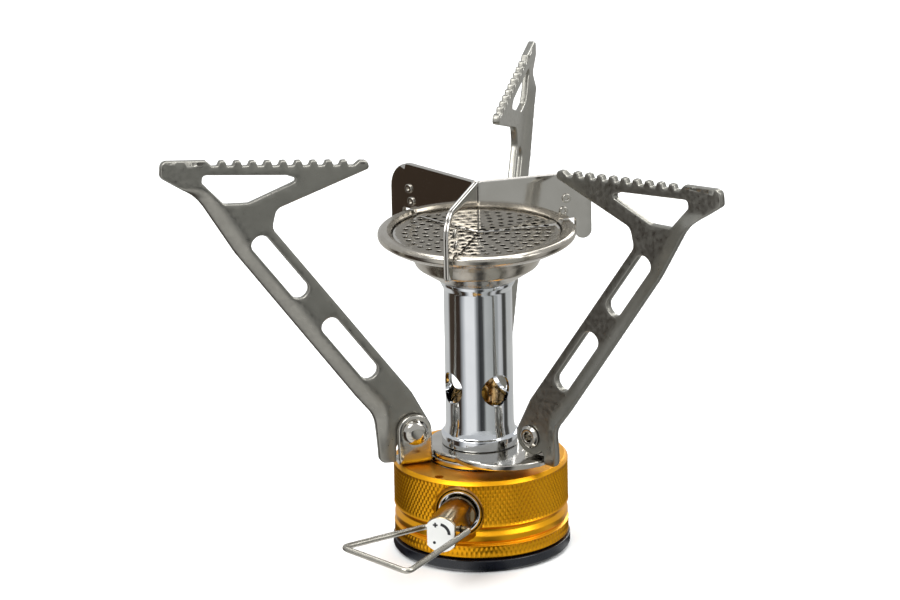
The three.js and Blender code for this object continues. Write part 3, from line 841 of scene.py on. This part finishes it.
plateShape = {
    "hole": 0.68,
    "rings": ((15.5, 37), (13.3, 32), (11.1, 27), (8.9, 21), (6.7, 16), (4.5, 11), (2.3, 6)),
    "thick": 0.6, "edge": 0.05,
}


def makePlate():
    # rings of punched holes: centre(k) = ring radius at (k + 0.5) / count of a turn
    p = plateShape
    middle = (plateLow[2] + plateHigh[2]) / 2
    radius = (plateHigh[0] - plateLow[0]) / 2
    turn = np.linspace(0, 2 * np.pi, 160, endpoint=False)
    outline = radius * np.column_stack([np.cos(turn), np.sin(turn)])
    small = p["hole"] * np.column_stack([np.cos(turn[::16]), np.sin(turn[::16])])
    holes = []
    for ring, count in p["rings"]:
        at = 2 * np.pi * (np.arange(count) + 0.5) / count
        centres = ring * np.column_stack([np.cos(at), np.sin(at)])
        holes += list(centres[:, None, :] + small[None, :, :])
    points, faces = sheetSolid(outline, holes, p["thick"], p["edge"], 1.6)
    points[:, 2] += middle
    makePiece("flamePlate", points, faces, "base", "polishedStainlessSheet",
        ["burner_plate"])


makePlate()
print("tube, cup and plate made")


wingShape = {
    "azimuth": 15.0, "thick": 0.5, "fold": 1.1,
    "skin": 0.3,  # from the wing's middle plane to the sheet's
    "step": 17.6, "notchIn": 18.1, "notchOut": 21.7, "tabLow": 67.6,
    "reach": 25.4, "topRound": 6.0, "tabRound": 1.8,
    "eyelets": ((20.0, 77.0), (19.3, 74.2)),
}


def foldWings(flat, bisector):
    # Folds a flat sheet about x = 0 to 120 degrees: near the fold a point is at
    # centre + (fold - height) (-cos a, sin a) with a = x / fold, and past 30 degrees it runs straight on.
    w = wingShape
    fold, apex = w["fold"], w["skin"] / math.sin(math.radians(60))
    centre = apex + fold / math.cos(math.radians(30))
    limit = math.radians(30)
    angle = np.clip(flat[:, 0] / fold, -limit, limit)
    past = flat[:, 0] - angle * fold
    reach = fold - flat[:, 2]
    x = centre - reach * np.cos(angle) + past * np.sin(angle)
    y = reach * np.sin(angle) + past * np.cos(angle)
    return turnTo(np.column_stack([x, y, flat[:, 1]]), bisector)


def makeWindshield():
    w = wingShape
    low, rim, top = wingLow[2], cupHigh[2] + 0.3, wingHigh[2]
    foot = plateHigh[2] + 0.3
    right = [
        [w["step"], foot, 0.3], [w["notchIn"], rim, 0.3], [w["notchOut"], rim, 0.3],
        [w["notchOut"] + 0.02, w["tabLow"], w["tabRound"]], [w["reach"], w["tabLow"], w["tabRound"]],
        [w["reach"], top, w["topRound"]],
    ]
    left = [[-x, z, r] for x, z, r in right[::-1]]
    outline = denser(roundCorners(right + left, 10), 0.7)
    creases = np.array([[x, z] for x in np.linspace(-0.8, 0.8, 9)
        for z in np.arange(foot + 0.4, top - 0.3, 0.8)])
    points, faces = sheetSolid(outline, [], w["thick"], 0.18, 1.4, creases)
    sheets = (("FrontLeft", "front_left", 1), ("FrontRight", "front_right", 2), ("Rear", "rear", 0))
    for name, side, turn in sheets:
        bisector = w["azimuth"] + 120 * turn + 60
        makePiece("shield" + name, foldWings(points, bisector), faces, "base",
            "mirrorStainlessFoil", ["windshield_" + side])


makeWindshield()


def makeEyelets():
    # tubular rivets through each pair of sheets, their ends rolled over into rings
    profile = roundCorners([
        [0.42, -0.9, 0.1], [1.0, -0.9, 0.14], [1.0, -0.6, 0.05], [0.62, -0.6, 0], [0.62, 0.6, 0],
        [1.0, 0.6, 0.05], [1.0, 0.9, 0.14], [0.42, 0.9, 0.1],
    ], 4)
    one, faces = revolve(profile, 32)
    upright = np.stack([one[:, 0], one[:, 2], -one[:, 1]], -1)
    points = [turnTo(upright + [out, 0, up], wingShape["azimuth"] + 120 * wing)
        for wing in range(3) for out, up in wingShape["eyelets"]]
    faces = [faces + k * len(upright) for k in range(len(points))]
    names = [f"wing_rivet_{side}_{end}" for side in ("right", "left", "front") for end in ("upper", "lower")]
    makePiece("wingEyelets", np.vstack(points), faces, "base",
        "polishedStainlessSheet", names, merge=True)


makeEyelets()
print("windshield folded and riveted")


armShape = {
    "thick": 1.6, "edge": 0.32,
    "firstValley": 27.8, "slope": 0.1, "edgeHeight": 89.3, "pitch": 3.34, "valleys": 10, "tooth": 1.1,
    "legSlope": 0.748,  # how far the leg leans out for each millimetre up
    "heel": 4.2,
    "curl": 4.6,  # width of the outer margin that is rolled over
    "curlRadius": 7.0,
    "foot": {"left": 21.2, "right": 22.7, "rear": 21.2},  # each foot ends beside its bracket's tab
}


def topEdge(u):
    return armShape["edgeHeight"] + armShape["slope"] * (u - armShape["firstValley"])


def legLine(z, offset):
    return 31.7 + armShape["legSlope"] * (z - 58.6) + offset


def armOutline(lowest):
    # outline in (outwards, up), clockwise from the inner tip's underside
    a = armShape
    valleys = a["firstValley"] + a["pitch"] * np.arange(a["valleys"])
    teeth = []
    for i, u in enumerate(valleys):
        if i > 0:
            peak = u - a["pitch"] / 2
            teeth.append([peak - 0.58, topEdge(peak) + a["tooth"] + 0.04, 0.45])
            teeth.append([peak + 0.58, topEdge(peak) + a["tooth"] + 0.04, 0.45])
        teeth.append([u - 0.6, topEdge(u - 0.6), 0.42])
        teeth.append([u + 0.6, topEdge(u + 0.6), 0.42])
    heelTurn = np.radians(-42 - 16.5 * np.arange(10))
    heel = [[pivotOut + a["heel"] * math.cos(t), pivotHeight + a["heel"] * math.sin(t), 0] for t in heelTurn]
    first = a["firstValley"]
    corners = [[23.7, 88.3, 0.75], [24.3, topEdge(24.3) + 1.05, 0.9],
        [first - 1.9, topEdge(first - 1.9) + 1.1, 0.6]]
    corners += teeth
    corners += [[59.7, topEdge(59.7) + 1.2, 0.5], [69.6, topEdge(69.6) + 1.1, 1.4], [69.9, 91, 1.2]]
    corners += [[61.6, 85.4, 14], [53.6, 72.1, 12], [legLine(36.5, 12.3), 36.5, 8], [23.5, 31.6, 6]]
    corners += [[22.9, lowest, 1.4], [19.2, lowest, 0.5], [19.2, 24.6, 0]] + heel
    corners += [[legLine(36.8, 0) + 0.1, 36.8, 6], [45.6, 77.2, 2.2], [44.6, 81.4, 2.2]]
    return denser(roundCorners(corners, 6), 0.7)


def legSlot(low, high):
    lean = math.atan(armShape["legSlope"])
    across = np.array([2.05 * math.cos(lean), -2.05 * math.sin(lean)])
    ends = [(low, -1), (low, 1), (high, 1), (high, -1)]
    return [[legLine(z, 5.15) + side * across[0], z + side * across[1], 1.9] for z, side in ends]


def ringLine(x, y, radius, count):
    t = np.linspace(0, 2 * np.pi, count, endpoint=False)
    return np.column_stack([x + radius * np.cos(t), y + radius * np.sin(t)])


def shiftLine(line, distance):
    # an open line moved sideways, to the right of its direction
    along = unit(np.gradient(line, axis=0))
    return line + np.column_stack([along[:, 1], -along[:, 0]]) * distance


def makeArm(side):
    a = armShape
    lowest = a["foot"][side]
    window = [[39.2, 87.4, 0.6], [42.2, 88.7, 1], [60.6, 90.6, 0.8], [60.8, 88.9, 0.8], [56, 83.6, 1.6],
        [50.6, 83.3, 1.6]]
    holes = [denser(roundCorners(h, 8), 0.7) for h in (window, legSlot(61.3, 75.4), legSlot(41.3, 55.3))]
    holes.append(ringLine(pivotOut, pivotHeight, 2.15, 32))
    # the rolled margin follows the outer edge from the window's outer corner down to the foot
    outer = denser(roundCorners([[66, 88.4, 0], [61.6, 85.4, 14], [53.6, 72.1, 12],
        [legLine(36.5, 12.3), 36.5, 8], [23.5, 31.6, 6], [22.9, lowest, 0],
        [80, lowest, 0], [80, 88.4, 0]], 10), 0.5)
    outer = outer[(outer[:, 0] < 65.8) & (outer[:, 1] > lowest + 0.1)]
    inward = np.vstack([shiftLine(outer, gap) for gap in np.arange(0.7, a["curl"] + 1, 0.55)])
    points, faces = sheetSolid(armOutline(lowest), holes, a["thick"], a["edge"], 1.1, inward)
    # roll: a point nearer than curl to the outer edge drops back by (curl - distance)^2 / (2 curlRadius)
    within = np.clip(a["curl"] - nearest(points[:, :2], outer), 0, None)
    fade = smoothStep((points[:, 1] - 24) / 9) * 0.75 + 0.25
    fade = fade * smoothStep((88.6 - points[:, 1]) / 3.5) * smoothStep((points[:, 0] - 20.2) / 2.5)
    sideways = points[:, 2] - within ** 2 / (2 * a["curlRadius"]) * fade
    shaped = turnTo(np.column_stack([points[:, 0], sideways, points[:, 1]]), armAzimuth[side])
    faces = [group[:, ::-1] for group in faces]
    makePiece("arm" + side.capitalize(), shaped, faces, side + "_arm",
        "tumbledStainlessSheet", ["arm_" + side], sharp=50)


for armSide in armAzimuth:
    makeArm(armSide)
print("arms cut and rolled")


bracketShape = {
    "plate": 1.4, "edge": 0.3,
    "ring": 11.5, "bore": 6.7, "tabEnd": 18.9, "tabLow": -2.0,
    "earMiddle": 2.0,  # the ear's middle plane, sideways from the arm's
    "bend": 0.85,  # middle radius of the bend
    "earHalf": 3.8,
    "levels": {"left": 20.7, "right": 22.2, "rear": 19.1},
    "tabLevel": {"left": 20.7, "right": 22.2, "rear": 20.7},
    "ringStop": {"left": 350.0, "right": 283.0, "rear": 350.0},  # degrees, where the ring meets the tab
    "webAt": (6.7, 0.5), "webRadius": 12.2, "web": (252.0, 346.0),  # the wide bracket's round web
}


def arcLine(x, y, radius, first, last, count):
    # corners on an arc between two angles in degrees
    t = np.radians(np.linspace(first, last, count))
    return [[x + radius * math.cos(v), y + radius * math.sin(v), 0] for v in t]


def makeBracket(side):
    # Flat pattern: a ring with a tab, and the ear laid out flat beside the tab. It is then bent up:
    # point = (base + (bend - height) sin a, level + bend - (bend - height) cos a), a = length / bend.
    b = bracketShape
    base = b["earMiddle"] - b["bend"]
    level, tabLevel = b["levels"][side] + b["plate"] / 2, b["tabLevel"][side] + b["plate"] / 2
    bendLength = b["bend"] * math.pi / 2
    earTop = base + bendLength + pivotHeight - (tabLevel + b["bend"])
    ring = b["ring"] if side != "rear" else b["ring"] - 0.3
    arc = arcLine(0, 0, ring, math.degrees(math.asin(base / ring)), b["ringStop"][side], 60)
    corner = [b["tabEnd"], b["tabLow"], 1.2]
    if side == "right":
        arc += arcLine(*b["webAt"], b["webRadius"], *b["web"], 30)
        corner = [b["tabEnd"], b["tabLow"] + 0.4, 0]
    earIn = pivotOut - b["earHalf"]
    ear = arcLine(pivotOut, earTop, b["earHalf"], 0, 180, 16)
    corners = [corner] + ear + [[earIn, base - 0.1, 0.12]] + arc
    outline = denser(roundCorners(corners, 6), 0.6)
    holes = [ringLine(0, 0, b["bore"], 72), ringLine(pivotOut, earTop, 2.05, 32)]
    creases = np.array([[u, base + s] for u in np.arange(earIn + 0.7, b["tabEnd"] - 0.4, 0.7)
        for s in np.linspace(0, bendLength, 8)])
    points, faces = sheetSolid(outline, holes, b["plate"], b["edge"], 1.2, creases)
    u, s, h = points[:, 0], points[:, 1], points[:, 2]
    onEar = (u > earIn - 0.25) & (s > base - 0.6)
    length = np.where(onEar, np.clip(s - base, 0, None), 0)
    angle = np.clip(length / b["bend"], 0, math.pi / 2)
    past = np.clip(length - bendLength, 0, None)
    joggle = smoothStep((u - 11.7) / 1.5) * (tabLevel - level)
    across = np.where(onEar, np.minimum(s, base), s) + (b["bend"] - h) * np.sin(angle)
    up = level + joggle + b["bend"] - (b["bend"] - h) * np.cos(angle) + past
    shaped = turnTo(np.column_stack([u, across, up]), armAzimuth[side])
    makePiece("bracket" + side.capitalize(), shaped, faces, bracketBodies[side],
        "polishedStainlessSheet", ["bracket_" + side], sharp=50)


for bracketSide in ("left", "right", "rear"):
    makeBracket(bracketSide)


pivotShape = {
    # radius, height along the pin and corner radius: hollow end, shank, domed head, floor of the hollow
    "rivet": ((0.95, 0.6, 0), (1.15, -0.4, 0), (1.15, -1.72, 0.12), (1.9, -1.75, 0.35), (2.5, -1.3, 0.25),
              (2.5, -0.95, 0.1), (1.85, -0.95, 0.05), (1.85, 2.8, 0.05), (2.85, 2.8, 0.12), (2.85, 3.2, 0.3),
              (2.35, 3.95, 1.2), (1.3, 4.35, 1.5), (0.0, 4.42, 0), (0.0, 0.9, 0)),
    "washer": ((2.1, 0, 0.05), (3.3, 0, 0.08), (3.3, 0.3, 0.08), (2.1, 0.3, 0.05)),
}


def placePivot(name, points, faces, side, replaced):
    # what was made about Z is laid across the arm at its pivot
    across = np.stack([points[:, 0], points[:, 2], -points[:, 1]], -1) + [pivotOut, 0, pivotHeight]
    placed = turnTo(across, armAzimuth[side])
    makePiece(name + side.capitalize(), placed, faces, bracketBodies[side],
        "polishedStainlessSheet", [replaced + side], merge=True)


def makePivots():
    rivet, rivetFaces = revolve(roundCorners(pivotShape["rivet"], 6), 64)
    washer, washerFaces = revolve(roundCorners(pivotShape["washer"], 3), 64)
    washer[:, 2] += armShape["thick"] / 2 + 0.1
    for side in armAzimuth:
        placePivot("pivotRivet", rivet, rivetFaces, side, "pivot_rivet_")
        placePivot("pivotWasher", washer, washerFaces, side, "pivot_washer_")


makePivots()
print("brackets and pivots made")


keptFinishes = {
    "jet": "turnedBrass", "jet_filter": "turnedBrass", "valve_pin": "turnedBrass",
    "cartridge_o_ring": "nitrileRubber", "stem_o_ring": "nitrileRubber",
    "valve_needle": "drawnSteelWire", "burner_gauze": "steelGauze", "stem_label": "printedFilm",
}
for node, finishName in keptFinishes.items():
    slots = frame["nodes"][node].data.materials
    slots.clear()
    slots.append(finishes[finishName])
print("kept pieces painted")


studioSet = {
    "floor": "#F4F4F3", "floorLight": "#F8F8F7",
    "world": "#D8DADC",
    "worldPower": 0.9,
}


def floorPaper():
    material, tree, place = startMaterial("floorPaper")
    fibre = addNode(tree, "TexNoise", {"Scale": 3.0}, {"Vector": place})
    shade = mixColours(tree, fibre.outputs["Fac"], studioSet["floor"], studioSet["floorLight"])
    endMaterial(tree, {"Roughness": 0.9}, {"Base Color": shade})
    return material


def stagePlane(name, reach, height, material):
    mesh = bpy.data.meshes.new(name)
    corners = [(x * reach, y * reach, height) for x, y in ((-1, -1), (1, -1), (1, 1), (-1, 1))]
    mesh.from_pydata(corners, [], [(0, 1, 2, 3)])
    mesh.materials.append(material)
    plane = bpy.data.objects.new(name, mesh)
    bpy.context.scene.collection.objects.link(plane)
    return plane


def makeStage():
    stagePlane("floor", 6.0, 0.0, floorPaper())
    world = bpy.data.worlds.new("studio")
    world.use_nodes = True
    background = world.node_tree.nodes["Background"]
    background.inputs["Color"].default_value = hexColour(studioSet["world"])
    background.inputs["Strength"].default_value = studioSet["worldPower"]
    bpy.context.scene.world = world
    bpy.context.scene.view_settings.view_transform = "Standard"


# tones round the stove, in degrees from +X, as the metal sees them just above the floor
cardTones = (
    (0, "#4A4946"), (12, "#4A4946"), (20, "#C9C9C6"), (150, "#D6D6D4"), (162, "#4A3F35"), (205, "#3A3029"),
    (216, "#B9BBBD"), (228, "#FFFFFF"), (256, "#FFFFFF"), (264, "#9B9D9E"), (273, "#3A3B3C"),
    (284, "#4A4B4B"),
    (292, "#C2C4C2"), (335, "#A6A8A6"), (342, "#D5D5D5"), (354, "#C5C5C5"), (358, "#4A4946"),
)


def makeFloorCard():
    # lies just over the floor and shows only in the metal, as bright and dark bands
    material, tree, place = startMaterial("reflectionCard")
    split = addNode(tree, "SeparateXYZ", None, {0: place})
    turn = addNode(tree, "Math", {"operation": "ARCTAN2"},
        {0: split.outputs["Y"], 1: split.outputs["X"]})
    share = addNode(tree, "Math", {"operation": "DIVIDE", 1: 2 * math.pi}, {0: turn.outputs[0]})
    whole = addNode(tree, "Math", {"operation": "FRACT"}, {0: share.outputs[0]})
    ramp = addNode(tree, "ValToRGB", None, {0: whole.outputs[0]})
    stops = ramp.color_ramp.elements
    for degrees, tone in cardTones:
        stop = stops.new(degrees / 360) if degrees else stops[0]
        stop.color = hexColour(tone)
    stops[-1].color = hexColour(cardTones[0][1])
    glow = addNode(tree, "Emission", {"Strength": 1.0}, {"Color": ramp.outputs["Color"]})
    addNode(tree, "OutputMaterial", None, {"Surface": glow.outputs[0]})
    card = stagePlane("floorCard", 1.2, 0.0002, material)
    card.visible_camera = False
    card.visible_diffuse = False
    card.visible_shadow = False
    card.visible_transmission = False


lamps = {
    # name: place, aim, size, watts
    "keySoftbox": ((-0.7, -0.9, 1.3), (0, 0, 0.05), (0.9, 0.9), 16.0),
    "rightSoftbox": ((1.0, -0.5, 0.9), (0, 0, 0.05), (0.5, 0.9), 7.0),
    "topSoftbox": ((0.0, 0.3, 1.4), (0, 0, 0.05), (1.2, 0.8), 12.0),
    "backStrip": ((0.5, 1.1, 0.7), (0, 0, 0.05), (0.3, 1.0), 5.0),
}


def makeLamps():
    for name, (place, aim, size, watts) in lamps.items():
        data = bpy.data.lights.new(name, "AREA")
        data.shape = "RECTANGLE"
        data.size, data.size_y = size
        data.energy = watts
        lamp = bpy.data.objects.new(name, data)
        lamp.location = place
        lamp.rotation_euler = (Vector(aim) - Vector(place)).to_track_quat("-Z", "Y").to_euler()
        bpy.context.scene.collection.objects.link(lamp)


makeStage()
makeFloorCard()
makeLamps()
print("studio lit")
